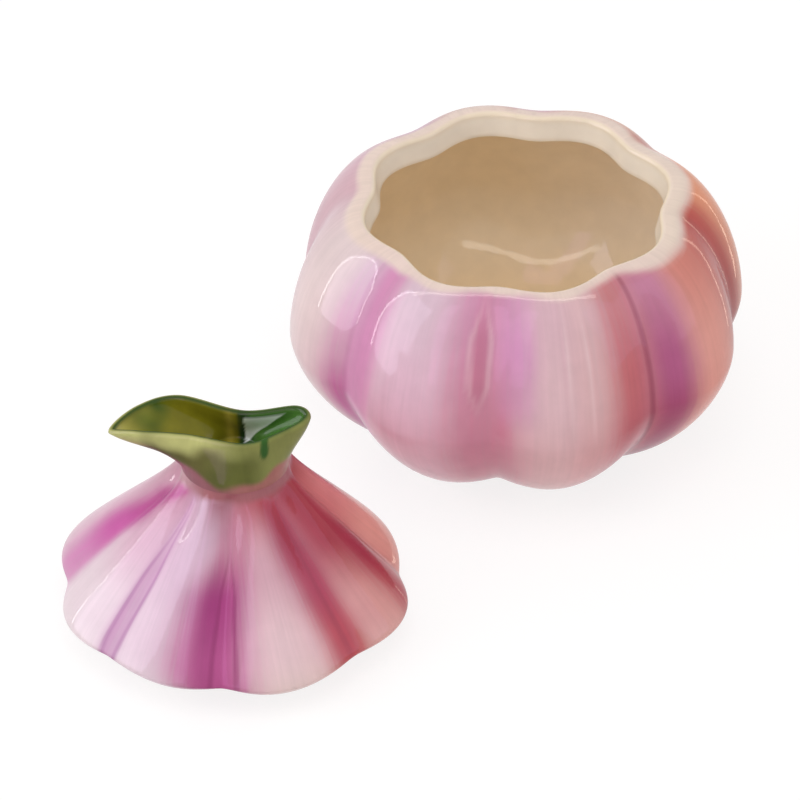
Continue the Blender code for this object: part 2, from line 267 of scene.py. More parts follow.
def fluteShell(piece, axis, flutes):
    depths, softs = readLayer(piece, "creaseDepth"), readLayer(piece, "creaseSoftness")
    zones = readLayer(piece, "zone")
    turns = []
    for vertex, depth, softness, zone in zip(piece.data.vertices, depths, softs, zones):
        radius = math.hypot(vertex.co.x, vertex.co.y)
        height = vertex.co.z
        turn = 0.0
        if radius > 1e-5:
            turn, lobe, within = gatheredTurn(math.atan2(vertex.co.x, -vertex.co.y), flutes)
            swell = lobeSwell(within, max(softness, 0.05))
            extra = flutes["swell"][lobe] * max(radius - flutes["core"], 0.0) if depth else 0.0
            depth *= mixed(flutes["depths"][lobe], flutes["depths"][(lobe + 1) % lobeCount], within)
            across, upward = flutes["waves"]
            uneven = flutes["uneven"] * (1 + noise.noise(Vector((turn * across, height * upward, 0.0)))) / 2
            if zone > 1.5:
                uneven = 0.0
            radius += extra * swell - depth * (1 - swell) - uneven
            vertex.co.x, vertex.co.y = radius * math.sin(turn), -radius * math.cos(turn)
        vertex.co += axis
        vertex.co.x += flutes["lean"] * eased(*flutes["leanHeights"], height)
        turns.append((math.degrees(turn) + 180.0) % 360.0 - 180.0)
    writeLayer(piece, "turn", turns)
    piece.data.update()


def aroundTurn(rows, turn):  # the rows before and after a turn, and its share of the way between them
    after = next((k for k, row in enumerate(rows) if row[0] > turn), 0)
    start, end = rows[after - 1], rows[after]
    span = (end[0] - start[0]) % 360.0
    return start, end, eased(0.0, 1.0, ((turn - start[0]) % 360.0) / span)


# Airbrushed colour: ground tints on the crowns, and strokes that follow the creases down
def airbrush(paint, turn, fall):
    start, end, share = aroundTurn(paint["crowns"], turn)
    ground = mixed(alongKeys(start[1], fall), alongKeys(end[1], fall), share)
    clear, tint, total = 1.0, Vector((0.0, 0.0, 0.0)), 0.0
    for path, left, right, shades, strengths in paint["strokes"]:
        gap = turnGap(turn, alongKeys(path, fall))
        reach = alongKeys(left if gap < 0 else right, fall)
        weight = alongKeys(strengths, fall) * math.exp(-abs(gap / reach) ** paint["flatness"])
        tint += alongKeys(shades, fall) * weight
        total += weight
        clear *= 1 - min(weight, 1.0)
    return ground, tint / total if total > 1e-6 else ground, 1 - clear


def keysOf(value):  # a single value stands for keys that stay the same all the way down
    return value if isinstance(value, tuple) else (value, value)


def readPaint(paint):  # hex codes to linear colours, once
    paint["crowns"] = [(turn, [colourOf(c) for c in codes]) for turn, codes in paint["crowns"]]
    paint["strokes"] = [
        (keysOf(path), keysOf(left), keysOf(right), [colourOf(c) for c in keysOf(codes)], strengths)
        for path, left, right, codes, strengths in paint["strokes"]
    ]


def storePaint(piece, tints, strokes, shares):
    for label, colours in (("groundTint", tints), ("strokeTint", strokes)):
        layer = piece.data.attributes.new(label, "FLOAT_COLOR", "POINT")
        for item, colour in zip(layer.data, colours):
            item.color = (*colour, 1.0)
    writeLayer(piece, "strokeShare", shares)
    writeLayer(piece, "brushed", [0.0 if zone > 0.5 else 1.0 for zone in readLayer(piece, "zone")])


def paintShell(piece, axis, paint, special):
    readPaint(paint)
    tints, strokes, shares = [], [], []
    layers = [readLayer(piece, label) for label in ("turn", "fall", "zone")]
    for vertex, turn, fall, zone in zip(piece.data.vertices, *layers):
        place = vertex.co - axis
        ground, stroke, share = airbrush(paint, turn, fall)
        ground, stroke, share = special(place, turn, zone, ground, stroke, share)
        tints.append(ground)
        strokes.append(stroke)
        shares.append(share)
    storePaint(piece, tints, strokes, shares)


def settle(piece, name, body, slotName, material, *nodes):
    piece.name = piece.data.name = name
    piece.data.materials.clear()
    piece.data.materials.append(material)
    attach(piece, body)
    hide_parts(*nodes)
    print(name, len(piece.data.vertices), "vertices")


glaze = {
    "streaks": 40.0,           # streaks round a unit circle, so 1.5 mm wide on the belly
    "streakDepth": 0.10,       # how far streaks break the edge of a stroke
    "streakShade": 0.038,      # how far streaks shade the colour itself
    "mottleSize": 0.006,
    "mottleDepth": 0.028,
    "speck": "#8F6658",
    "speckSpacing": 0.012,
    "speckSize": 0.00045,
    "speckShare": 0.10,        # share of the speck cells that hold a speck
    "speckStrength": 0.6,
    "noiseRange": (0.3, 0.7),  # where nearly all values of a noise texture lie
    "rippleSize": 0.0050,
    "rippleHeight": 0.00006,
    "grainSize": 0.0011,
    "grainHeight": 0.000008,
    "bodyRoughness": 0.32,
    "bodySpecular": 0.05,
    "glass": 0.36,
    "glassRoughness": 0.018,
}

# The jar: drain cast, eight cloves, scalloped collar with a rounded lip, undercut belly, coved floor
jar = {
    "height": 0.0699,
    "bellyRadius": 0.0619,
    "bellyHeight": 0.0338,
    "baseRadius": 0.036,
    "underside": 0.0025,
    "floor": 0.0070,
    "wall": 0.0042,
    "rimRadius": 0.0438,
    "mouthRadius": 0.0409,
    "collarFoot": 0.0626,
    "collarTaper": 0.0011,
    "edgeRound": 0.00045,      # the collar's lower edge, softened by the glaze
    "edgeTurns": (0.4, 0.8, 1.2),
    "creases": (0.0060, 0.0045, 0.0031),
    "softness": (0.12, 0.7, 0.6),
    "fullness": (1.5, 1.7, 1.6),
    "innerShare": 0.8,
    "lipStart": 65.0,
    "lipZones": (0.12, 0.22),  # zone of the lip's first row, and how much each next row adds
    "columns": 288,
    "steps": {"under": 5, "lower": 20, "upper": 30, "lip": 9, "collar": 5, "inside": 20, "floor": 5},
}
jarFlutes = {
    "crease": -7.0,
    "drift": (0.0,) * lobeCount,
    "swell": (0.0,) * lobeCount,
    "depths": (1.0,) * lobeCount,
    "lean": 0.0,
    "leanHeights": (0.0, 1.0),
    "core": 0.0139,
    "gather": 0.5,
    "uneven": 0.00012,         # how far the hand-sponged wall strays
    "waves": (6, 60),          # and how often, in each radian round and each metre up
}
jarPaint = {
    "flatness": 3.0,           # how flat a stroke's middle is, and so how sharp its edge
    # turn, and the ground colours down that crown
    "crowns": [
        (-164.5, ("#D8B4A8", "#D6AEBC", "#CFA0B6")),
        (-119.5, ("#DDB8C6", "#D6A9BA", "#CC98AE")),
        (-100.0, ("#DBB4C0", "#D09AAC", "#B88098")),
        (-72.0, ("#E8D6D8", "#F4E1E2", "#F2DDE0", "#E6C4CE")),
        (-29.0, ("#DFC4D4", "#F2CFE4", "#F6CCDF", "#ECB0BE")),
        (10.0, ("#DFBAC6", "#E8C4CC", "#EABEC2", "#E6B2B2")),
        (20.0, ("#E4BEC4", "#EAC0C4", "#E2A8AC", "#D89498")),
        (62.0, ("#DE8C80", "#EEA69A", "#EA9A8C", "#CF7C74")),
        (106.0, ("#EE9A70", "#DE885C", "#D67E5E", "#C4705E")),
        (150.5, ("#DCA68A", "#D8A08E", "#CD969A")),
    ],
    # turns that the stroke follows down the wall, widths to its left and right, colours, strengths
    "strokes": [
        (-142.0, 9.0, 9.0, ("#C68BC2", "#BB66A6"), (0.5, 0.7, 0.8)),
        ((-45.0, -45.5), 6.5, (6.0, 5.0), ("#D88EBC", "#E296C8", "#E8A0D0", "#C47AA8"), (0.9, 0.95, 0.9, 0.4)),
        ((-53.0, -51.5), (6.5, 8.5, 10.5), (5.0, 6.5), ("#CFA0CA", "#D07AB6", "#CA3EA0", "#B43488"),
         (0.35, 0.55, 1.0, 1.0)),
        ((-10.0, -8.0), 11.0, (12.0, 10.0, 10.0), ("#D68EB4", "#D27E9A", "#C6647A"), (0.85, 0.85, 0.95)),
        ((32.5, 33.5), (8.0, 9.5), (7.2, 6.6), ("#CC6C72", "#D06E76", "#BC4E60", "#AC4254"), (0.7, 1.0, 1.0, 1.0)),
        ((44.5, 45.0), 8.2, (7.5, 7.0), ("#CC84A4", "#BC6090", "#A83A66", "#982A4C"), (0.9, 1.0, 1.0, 1.0)),
        (83.5, (15.0, 14.0), (9.0, 9.5), ("#C2504A", "#A22824", "#901A1A"), (1.0, 1.0, 1.0)),
        (130.0, 9.0, 9.0, ("#BF6660", "#B6566E"), (0.8, 0.85)),
        (173.0, 9.0, 9.0, ("#C077A8", "#B45A98"), (0.7, 0.85)),
        # dark lines along the creases at 38 and -52: partly glaze pooled in the creases, partly painted shade
        ((38.0, 38.2), (0.9, 1.2), (0.8, 1.0), ("#7C2A40", "#702038"), (0.7, 0.9, 0.9)),
        (-52.0, 1.0, 1.0, ("#B0629A", "#9A4682"), (0.2, 0.2, 0.3)),
        (0.0, 5.0, 5.0, ("#D490CC", "#D490C4"), (0.3, 0.65, 0.45, 0.0, 0.0, 0.0, 0.0)),
        # dark line along the crease at 83: partly glaze pooled in the crease, partly painted shade
        (83.0, 1.4, 1.4, ("#A4443E", "#8A3238"), (0.3, 0.4, 0.5)),
        (-10.4, 2.4, 2.4, ("#C26E88", "#C06C80"), (0.2, 0.8, 0.7, 0.0, 0.0, 0.0, 0.0, 0.0)),
        ((-11.0, -13.2, -12.8, -10.4, -10.4, -10.4, -10.4, -10.4), 0.7, 0.7, "#F0CCD6",
         (0.1, 0.9, 0.8, 0.0, 0.0, 0.0, 0.0, 0.0)),
        ((-9.8, -7.6, -8.0, -10.4, -10.4, -10.4, -10.4, -10.4), 0.7, 0.7, "#F0CCD6",
         (0.1, 0.9, 0.8, 0.0, 0.0, 0.0, 0.0, 0.0)),
        ((14.0, 14.6), 0.9, 0.9, ("#F8DEE2", "#F4D6DA"), (0.1, 0.4, 0.3, 0.0, 0.0, 0.0)),
        ((16.4, 16.2), 0.7, 0.7, "#CC949C", (0.0, 0.4, 0.4, 0.1, 0.0, 0.0)),
        ((19.0, 19.4), 1.0, 1.0, ("#F8DEE2", "#F4D6DA"), (0.0, 0.35, 0.25, 0.0, 0.0, 0.0)),
        ((-40.0, -39.0), 1.2, 1.2, ("#F8E4EE", "#F4DCE4"), (0.0, 0.0, 0.0, 0.3, 0.7, 0.6)),
        ((-34.5, -34.0), 0.8, 0.8, ("#D08CB4", "#C88098"), (0.0, 0.0, 0.2, 0.4, 0.4, 0.1)),
    ],
    "lip": "#FBEDD6",
    "blush": "#EBD3D0",
    "collar": "#FFF7EA",
    "inside": "#FCECD0",
    # painted light: the inside wall on the right, which faces the light, is painted paler
    "insideLitWall": "#FBEFDF",
    "insideLitWallTurn": 95.0,
    "insideLitWallRange": (-0.2, 0.9),
    "insideLitWallHeights": (0.010, 0.030),
    "floor": "#F4DCB6",
    "floorHeights": (0.0068, 0.022),
    "lipHeights": (0.0680, 0.0694),
    "fadeWander": 0.4,         # how far the edge of the blush strays, as a share of its height
    "fadeWaves": 5,
    # turn, heights where the blush at the lip is full and where it is gone, share of cream in it
    "fade": [
        (-150.0, 0.0697, 0.0686, 0.4),
        (-75.0, 0.0693, 0.0679, 0.4),
        (-47.0, 0.0694, 0.0682, 0.25),
        (-34.0, 0.0699, 0.0691, 0.35),
        (30.0, 0.0699, 0.0690, 0.35),
        (50.0, 0.0695, 0.0677, 0.35),
        (70.0, 0.0694, 0.0667, 0.6),
        (84.0, 0.0693, 0.0667, 0.6),
        (120.0, 0.0695, 0.0674, 0.5),
        (165.0, 0.0698, 0.0688, 0.35),
    ],
}


def jarSection():
    lipRadius = (jar["rimRadius"] - jar["mouthRadius"]) / 2
    lipCentre = jar["mouthRadius"] + lipRadius
    lipHeight = jar["height"] - lipRadius
    soft, rimSoft, innerSoft = jar["softness"]
    baseDepth, bellyDepth, rimDepth = jar["creases"]
    start = math.radians(jar["lipStart"])
    steps = jar["steps"]

    def lipRow(angle):
        return (lipCentre + lipRadius * math.cos(angle), lipHeight + lipRadius * math.sin(angle), rimDepth, rimSoft)

    def rows(section, zones):
        span = jar["height"] - jar["underside"]
        return [(*row, (jar["height"] - row[1]) / span, zone) for row, zone in zip(section, zones)]

    belly = (jar["bellyRadius"], jar["bellyHeight"], bellyDepth, soft)
    base = (jar["baseRadius"], jar["underside"], baseDepth, soft)
    under = straightRows((0.0, jar["underside"], 0.0, soft), base, steps["under"])
    lower = swellingRows(belly, base, jar["fullness"][0], steps["lower"])[::-1][1:]
    upper = swellingRows(belly, lipRow(start), jar["fullness"][1], steps["upper"])
    lip = [lipRow(mixed(start, math.pi, k / steps["lip"])) for k in range(1, steps["lip"] + 1)]
    edge = jar["edgeRound"]
    collarRadius = jar["mouthRadius"] - jar["collarTaper"]
    collar = straightRows(lip[-1], (collarRadius, jar["collarFoot"] + edge, rimDepth, rimSoft), steps["collar"])
    turned = [(collarRadius + edge * (1 - math.cos(a)), jar["collarFoot"] + edge * (1 - math.sin(a)),
               rimDepth, rimSoft) for a in jar["edgeTurns"]]
    innerBelly = (jar["bellyRadius"] - jar["wall"], jar["bellyHeight"], bellyDepth * jar["innerShare"], innerSoft)
    undercut = (collarRadius + edge, jar["collarFoot"], rimDepth, rimSoft)
    cove = (jar["baseRadius"] - jar["wall"], jar["floor"], 0.0, innerSoft)
    innerUpper = swellingRows(innerBelly, undercut, jar["fullness"][2], steps["inside"])[::-1]
    innerLower = swellingRows(innerBelly, cove, jar["fullness"][0], steps["inside"])
    floor = straightRows(cove, (0.0, jar["floor"], 0.0, innerSoft), steps["floor"])
    outside = [(0.0, jar["underside"], 0.0, soft)] + under + lower + [belly] + upper
    inside = turned + innerUpper + [innerBelly] + innerLower + floor
    firstZone, zoneStep = jar["lipZones"]
    creamy = [min(firstZone + zoneStep * k, 1.0) for k in range(len(lip + collar))]
    outerRows = rows(outside, [0.0] * len(outside))
    return outerRows + rows(lip + collar, creamy) + rows(inside, [2.0] * len(inside))


jarLip, jarBlush, jarCollar, jarInside, jarInsideLit, jarFloor = (
    colourOf(jarPaint[k]) for k in ("lip", "blush", "collar", "inside", "insideLitWall", "floor"))


def jarSpecial(place, turn, zone, ground, stroke, share):
    if zone > 1.5:
        # painted light: the inside is paler on the wall that faces the light, above the floor
        facing = math.cos(math.radians(turn - jarPaint["insideLitWallTurn"]))
        pale = eased(*jarPaint["insideLitWallRange"], facing) * eased(*jarPaint["insideLitWallHeights"], place.z)
        litInside = mixed(jarInside, jarInsideLit, pale)
        return mixed(jarFloor, litInside, eased(*jarPaint["floorHeights"], place.z)), jarInside, 0.0
    start, end, along = aroundTurn(jarPaint["fade"], turn)
    full, none, width = (mixed(a, b, along) for a, b in zip(start[1:], end[1:]))
    stray = noise.noise(Vector((math.radians(turn) * jarPaint["fadeWaves"], 0, 0)))
    wander = (full - none) * jarPaint["fadeWander"] * stray
    blush = eased(none + wander, full + wander, place.z)
    cream = mixed(jarCollar, jarLip, eased(*jarPaint["lipHeights"], place.z))
    edge = mixed(mixed(ground, jarBlush, blush), cream, max(zone, blush * width))
    return edge, stroke, share * (1 - max(blush, zone))


jarShell = spunShell("jarGlazedShell", jarSection(), False, jar["columns"])
fluteShell(jarShell, jarAxis, jarFlutes)
paintShell(jarShell, jarAxis, jarPaint, jarSpecial)
jarGloss = glazeMaterial("clearGlazeOverAirbrushedCloves", jarAxis, glaze)
settle(jarShell, "jarGlazedShell", "jar", "rose_clove_glaze", jarGloss, "jar_body")

# The lid's cap: a fluted cone whose pleats gather at the neck, with a skirt that tucks under
cap = {
    "level": 0.0035,
    "radius": 0.0450,
    "waist": 0.0062,
    "height": 0.0457,
    "baseRadius": 0.0356,
    "openingRadius": 0.0272,
    "wall": 0.0042,
    "neckRadius": 0.0139,
    "boreRadius": 0.0104,
    "spigot": 0.0030,
    "creases": (0.0040, 0.0022, 0.0030),
    "softness": 0.2,
    "innerSoftness": 0.6,
    "skirtFullness": 1.45,
    "innerFullness": 1.6,
    "innerShare": 0.8,
    "handles": (0.13, 0.175, 0.03),
    "pleatDepth": 0.0013,      # how much deeper the creases fold where they gather below the neck
    "pleatPlace": 0.80,
    "pleatSpread": 0.16,
    "pleatSoftness": 0.8,      # and how much rounder their valleys get there
    "pleatEnd": 12,            # a high power, so that the folds end only just below the neck
    "innerPleatFade": 9,       # a power too, so that the inside shows them faintly
    "hidden": ((0.0001, 0.0005), (0.0006, 0.0010)),  # inward and upward, where the neck goes on in the sprout
    "columns": 288,
    "steps": {"tuck": 12, "cone": 44, "inner": 20, "skirt": 8, "opening": 2, "under": 3},
}
capFlutes = {
    "crease": 0.0,
    "drift": (-1.5, 2.6, 2.6, 2.0, 1.0, 2.0, 2.6, 0.0),
    "swell": (0.03, 0.06, -0.03, -0.05, 0.0, 0.06, 0.01, -0.05),
    "depths": (1.25, 0.5, 1.0, 1.0, 1.0, 1.0, 1.0, 1.0),
    "lean": 0.0020,            # the hand-set cone leans, and its neck stands upright again
    "leanHeights": (0.0100, 0.0462),
    "core": 0.0139,
    "gather": 0.5,
    "uneven": 0.00010,
    "waves": (6, 60),
}
capPaint = {
    "flatness": 3.0,
    "crowns": [
        (-156.0, ("#CE9CB2", "#DDB4C8", "#E0BBD0", "#E4C8D8")),
        (-112.0, ("#D8A4B8", "#E8BCD2", "#E6C0D4", "#EACAD8")),
        (-66.0, ("#D694B4", "#E2B8D0", "#F0DEE9", "#F6EAF0")),
        (-26.0, ("#D6B4CC", "#DCBCD4", "#E4CADC", "#F2E0EC")),
        (20.0, ("#C0606E", "#DEB0C0", "#F2D2DA", "#F0DAD4")),
        (64.0, ("#AE3E4C", "#B03E4C", "#E09E9C", "#ECBAB4")),
        (112.0, ("#B4585C", "#E48C8C", "#F2A89C", "#E09C90")),
        (159.0, ("#B46870", "#CC8898", "#DCA0AE", "#E0B4BE")),
    ],
    "strokes": [
        ((-150.0, -140.0), 9.0, 9.0, ("#CC6CB4", "#C88ABC"), (0.7, 0.8, 0.6)),
        ((-52.0, -83.0, -93.0, -92.0, -92.0), (9.0, 14.0, 11.0, 10.0, 10.0), (5.5, 12.5, 10.0, 9.0, 9.0),
         ("#C65CA0", "#BE4494", "#D060AE", "#D67CBC", "#DC90C6"), (0.8, 1.0, 1.0, 0.8, 0.6)),
        (-45.5, (5.0, 4.5), (4.5, 4.0), ("#C084B4", "#B870AA"), (0.0, 0.25, 0.65, 0.7, 0.7)),
        ((9.0, 3.0, -4.0, -4.5, -2.5), (12.0, 15.0, 18.0, 17.5, 14.0), (9.0, 10.5, 14.5, 14.5, 14.5),
         ("#B4606C", "#BE6E8E", "#B04488", "#BC5694", "#B04C86"), (0.3, 0.7, 1.0, 1.0, 1.0)),
        ((-14.0, -12.0), 11.0, 11.0, "#A45C6C", (0.95, 0.0, 0.0, 0.0, 0.0)),
        (-8.5, 4.0, 4.0, "#8E2C6C", (0.0, 0.0, 0.55, 0.3, 0.0)),
        ((36.0, 41.0, 45.0, 46.0, 46.0), (13.0, 14.0, 12.0, 9.5, 9.0), (8.0, 8.5, 7.5, 7.5, 7.5),
         ("#B23A48", "#AA3850", "#B4405A", "#C04A56", "#C85A60"), (0.9, 1.0, 1.0, 1.0, 0.95)),
        ((60.0, 71.0, 80.0, 82.0, 82.0), (14.0, 13.0, 13.0, 10.0, 8.5), (9.0, 7.5, 9.0, 9.5, 9.0),
         ("#A83A46", "#AE3C4C", "#AC384E", "#B43648", "#B44A54"), (0.95, 1.0, 1.0, 0.95, 0.9)),
        ((120.0, 136.0), 9.0, 9.0, ("#B05060", "#B4546C"), (0.8, 0.85, 0.7)),
        ((172.0, 178.0), 9.0, 9.0, ("#BC5A94", "#B8589C"), (0.7, 0.85, 0.7)),
        ((-47.0, -47.0, -49.0, -48.6, -47.6), 1.0, 1.0, "#9C5094", (0.0, 0.3, 0.6, 0.6, 0.5)),
        ((-44.0, -44.0, -41.6, -42.2, -43.4), 1.0, 1.0, "#9C5094", (0.0, 0.3, 0.6, 0.6, 0.5)),
        ((-1.5, -1.5, -4.4, -5.0, -5.4), 1.0, 0.8, "#7E2058", (0.0, 0.0, 0.65, 0.65, 0.3)),
        ((-1.0, -1.0, 2.8, 3.6, 3.8), 0.8, 1.0, "#7E2058", (0.0, 0.0, 0.65, 0.65, 0.3)),
        # dark lines along two creases: partly glaze pooled in the creases, partly painted shade
        ((43.0, 46.0), 1.2, 1.2, ("#8A2E42", "#98384A"), (0.0, 0.4, 0.4, 0.3)),
        ((86.0, 90.0), 1.4, 1.4, ("#8A2C3C", "#923444"), (0.0, 0.3, 0.5, 0.5)),
    ],
    # painted shade: darker rose on the skirt where it tucks under
    "hemShade": "#A8506C",
    "hemShadeShare": 0.6,
    "hemShadeHeights": (0.0062, 0.0040),  # none above, full below
    "neck": "#A8666E",         # the dusky wash at the neck: partly the sprout's green run into the rose, partly painted shade where the leaf overhangs the neck
    "neckTurn": 20.0,
    "neckSide": "#CCA0AC",     # its paler tint on the sides away from that turn
    "neckRange": (-1.0, 0.6),
    "neckWash": (0.0476, 0.0450, 0.0012),  # full above, none below, and how far it dips in the creases
    "inside": "#E2D3BE",
}


def coneRows(foot, neckRadius, top, share, softness, steps):
    rise, spread = top - foot[1], foot[0] - neckRadius
    low, high, flare = cap["handles"]
    rows = []
    for step in range(1, steps + 1):
        t = step / steps
        radius, height = bezier(
            (foot[0], foot[1]), (foot[0], foot[1] + rise * low),
            (neckRadius + spread * flare, top - rise * high), (neckRadius, top), t)
        waistDepth, coneDepth = cap["creases"][1:]
        depth = bezier((waistDepth,), (coneDepth,), (coneDepth,), (0.0,), t)[0] * share
        gathered = math.exp(-((t - cap["pleatPlace"]) / cap["pleatSpread"]) ** 2) * (1 - t ** cap["pleatEnd"])
        if share == 1.0:
            depth += cap["pleatDepth"] * gathered
        rounder = cap["pleatSoftness"] * gathered * share ** cap["innerPleatFade"]
        rows.append((radius, height, depth, softness + rounder))
    return rows


def capSection():
    level, soft, innerSoft = cap["level"], cap["softness"], cap["innerSoftness"]
    top, steps = level + cap["height"], cap["steps"]

    def rows(section, zone):
        return [(*row, (top - row[1]) / cap["height"], zone) for row in section]

    waist = (cap["radius"], level + cap["waist"], cap["creases"][1], soft)
    base = (cap["baseRadius"], level, cap["creases"][0], soft)
    tuck = swellingRows(waist, base, cap["skirtFullness"], steps["tuck"])[::-1]
    cone = coneRows(waist, cap["neckRadius"], top, 1.0, soft, steps["cone"])
    innerCrease = cap["creases"][1] * cap["innerShare"]
    innerWaist = (cap["radius"] - cap["wall"] - cap["creases"][1],
                  level + cap["waist"] + cap["wall"] / 2, innerCrease, innerSoft)
    innerTop = top - cap["spigot"]
    inner = coneRows(innerWaist, cap["boreRadius"], innerTop, cap["innerShare"], innerSoft, steps["inner"])
    openingTop = (cap["openingRadius"], level + cap["wall"], 0.0, innerSoft)
    skirt = swellingRows(innerWaist, openingTop, cap["innerFullness"], steps["skirt"])
    inSprout = [(cap["neckRadius"] - inward, top + upward, 0.0, soft) for inward, upward in cap["hidden"]]
    bore = [(cap["boreRadius"], inSprout[-1][1], 0.0, innerSoft)]
    opening = straightRows(openingTop, (cap["openingRadius"], level, 0.0, innerSoft), steps["opening"])
    under = straightRows(opening[-1], base, steps["under"])[:-1]
    inside = bore + inner[::-1] + [innerWaist] + skirt + opening + under
    return rows(tuck + [waist] + cone + inSprout, 0.0) + rows(inside, 2.0)


capInside, capNeck, capNeckSide, capHemShade = (colourOf(capPaint[k]) for k in ("inside", "neck", "neckSide", "hemShade"))


def capSpecial(place, turn, zone, ground, stroke, share):
    if zone > 1.5:
        return capInside, capInside, 0.0
    # the neck wash: partly glaze colour, partly painted shade under the leaf, darkest toward neckTurn
    full, none, dip = capPaint["neckWash"]
    low = none - dip * math.cos(math.radians(turn - capFlutes["crease"]) * lobeCount)
    wash = eased(low, full, place.z)
    facing = math.cos(math.radians(turn - capPaint["neckTurn"])) * 2 - 1
    tint = mixed(capNeckSide, capNeck, eased(*capPaint["neckRange"], facing))
    # painted shade on the skirt's tuck-under, near its bottom edge
    hemShade = capPaint["hemShadeShare"] * eased(*capPaint["hemShadeHeights"], place.z)
    return mixed(mixed(ground, tint, wash), capHemShade, hemShade), stroke, share * (1 - wash)


capShell = spunShell("lidGlazedCap", capSection(), True, cap["columns"])
fluteShell(capShell, lidAxis, capFlutes)
paintShell(capShell, lidAxis, capPaint, capSpecial)
capGloss = glazeMaterial("clearGlazeOverAirbrushedPleats", lidAxis, glaze)
settle(capShell, "lidGlazedCap", "lid", "rose_cap_glaze", capGloss, "lid_cap")

# The sprout: a leaf cup pinched between thumb and finger and luted on the neck
sprout = {
    "foot": 0.0495,
    "reach": 0.0314,
    "depth": 0.0094,
    "height": 0.0149,
    "wall": 0.0019,
    "floor": 0.0020,
    "well": 0.0062,
    "neckRadius": 0.0139,
    "sink": ((0.0009, 0.0016), (0.0002, 0.0007)),  # inward and down, where its foot goes on in the neck
    "neckRise": 0.38,
    "lipRise": 0.44,
    "lipFlare": 0.27,
    "spanSteps": 20,
    "steps": (24, 8, 22, 6),   # up the outside, over the lip, down the inside and across the floor
    "lip": (                   # turn on the neck, then reach, depth and height as shares
        (-0.250, -1.008, -0.05, 0.67),
        (-0.200, -0.785, -0.44, 0.77),
        (-0.117, -0.370, -0.72, 0.83),
        (0.028, 0.095, -1.000, 0.77),
        (0.139, 0.395, -0.66, 0.85),
        (0.236, 0.615, -0.12, 0.96),
        (0.320, 0.510, 0.36, 1.00),
        (0.472, 0.075, 0.38, 0.89),
        (0.625, -0.450, 0.96, 0.93),
        (0.700, -0.800, 0.69, 0.82),
    ),
}
sproutPaint = {
    # the foot's dusky rose carries on the cap's neck wash: partly glaze colour, partly painted shade
    "neckLeft": "#965E6A",
    "neckRight": "#A86C66",
    # the outer wall is painted darker below the lip: partly the olive glaze, partly painted shade under the leaf's
    # overhang
    "outerLeft": "#5E5A2C",
    "outer": "#5E622A",
    "outerRight": "#868A4C",
    "lipLeft": "#BEC07C",
    "lipRight": "#84884A",
    "lip": "#2E4A14",
    "innerLeft": "#84801E",
    "innerPatch": "#50681A",
    "innerTip": "#C2BC60",
    "innerStreak": "#B8A848",
    "innerFold": "#2A4424",
    "innerRight": "#4C7A34",
    "paintedReflection": "#F6FCFE",         # a painted window reflection on the short lobe's back wall
    "reflectionCorners": ((0.0024, 0.0040), (0.0104, 0.0100)),  # across and up the slanted wall
    "wallUp": (0.603, 0.798),  # which way is up that wall, in y and z
    "reflectionEdge": (-0.0002, 0.0003),
    "reflectionStart": (-0.0003, 0.0002),
    "reflectionTop": (1.0, 0.9),
    "reflectionWander": 0.0008,
    "drip": "#2E5A1C",
    "dripPlace": (0.0080, 0.90, 0.0011, 0.20),  # x, rise, half width, half rise
    "dripEdge": (1.6, 0.6),
    "lipLine": (0.66, 0.22),   # place of the dark line over the lip, and its half width
    "lipLineRise": (0.9, 1.0),
    "cupEdge": (0.3, 0.7),     # where the outer green passes into the inner, 0 outside to 1 inside
    "cloudWaves": 160,
    # where one colour passes into the next, as shares of the reach to the left or right
    "neckBlend": (-0.35, 0.25),
    "leftBlend": (-0.35, -0.05),
    "rightBlend": (0.10, 0.32),
    "lipBlend": (-0.25, 0.10),
    "tipBlend": (-1.0, -0.66),
    # rises between which the lip's tint comes in, and how the neck's tint ends higher at each side
    "lipBand": (0.62, 1.0),
    "neckEnd": (0.02, 0.22),
    "neckEndLeft": (-0.10, -0.35, 0.26),
    "neckEndRight": (0.12, 0.35, 0.22),
    # the inner patch's side and half width, and the rises between which it comes in
    "patchPlace": (-0.66, 0.11),
    "patchRise": (0.45, 0.9),
    "streakPlace": (-0.0014, 0.0011, 0.8),  # x, half width and strength of the pale streak at the fold
    "foldEdge": (0.0002, 0.0014),
    "rightEdge": (0.0022, 0.0050),
    # how far the cloudy noise moves the lip band, the neck's end, the patch and the tip
    "wander": {"lip": 0.25, "neck": 0.12, "patchSide": 0.12, "patchRise": 0.3, "tip": 0.1},
}


def lipColumns():
    rows = sprout["lip"]
    count = len(rows)
    shifted = [(row[0] - k / count, *row[1:]) for k, row in enumerate(rows)]
    columns = []
    for span in range(count):
        for step in range(sprout["spanSteps"]):
            t = step / sprout["spanSteps"]
            four = [shifted[(span + k) % count] for k in (-1, 0, 1, 2)]
            values = []
            for p, q, r, s in zip(*four):
                bend = 2 * q + (r - p) * t + (2 * p - 5 * q + 4 * r - s) * t ** 2
                values.append((bend + (3 * q - p - 3 * r + s) * t ** 3) / 2)
            turn = math.tau * (values[0] + (span + t) / count)
            scale = (sprout["reach"], sprout["depth"], sprout["height"])
            columns.append((turn, Vector([v * s for v, s in zip(values[1:], scale)])))
    return columns


def lipInset(columns, distance, drop):
    inset = []
    for k, (turn, lip) in enumerate(columns):
        along = columns[(k + 1) % len(columns)][1] - columns[k - 1][1]
        inward = Vector((-along.y, along.x, 0.0)).normalized()
        inset.append((turn, lip + inward * distance - Vector((0.0, 0.0, drop))))
    return inset


def leafLoop(columns, footRadius, footLevel, t):
    loop = []
    for turn, lip in columns:
        foot = Vector((math.sin(turn) * footRadius, -math.cos(turn) * footRadius, footLevel))
        rise = lip.z - footLevel
        footHandle = foot + Vector((0.0, 0.0, rise * sprout["neckRise"]))
        lipHandle = lip - (lip - foot) * sprout["lipFlare"]
        lipHandle.z = lip.z - rise * sprout["lipRise"]
        loop.append(Vector(bezier(foot, footHandle, lipHandle, lip, t)))
    return loop


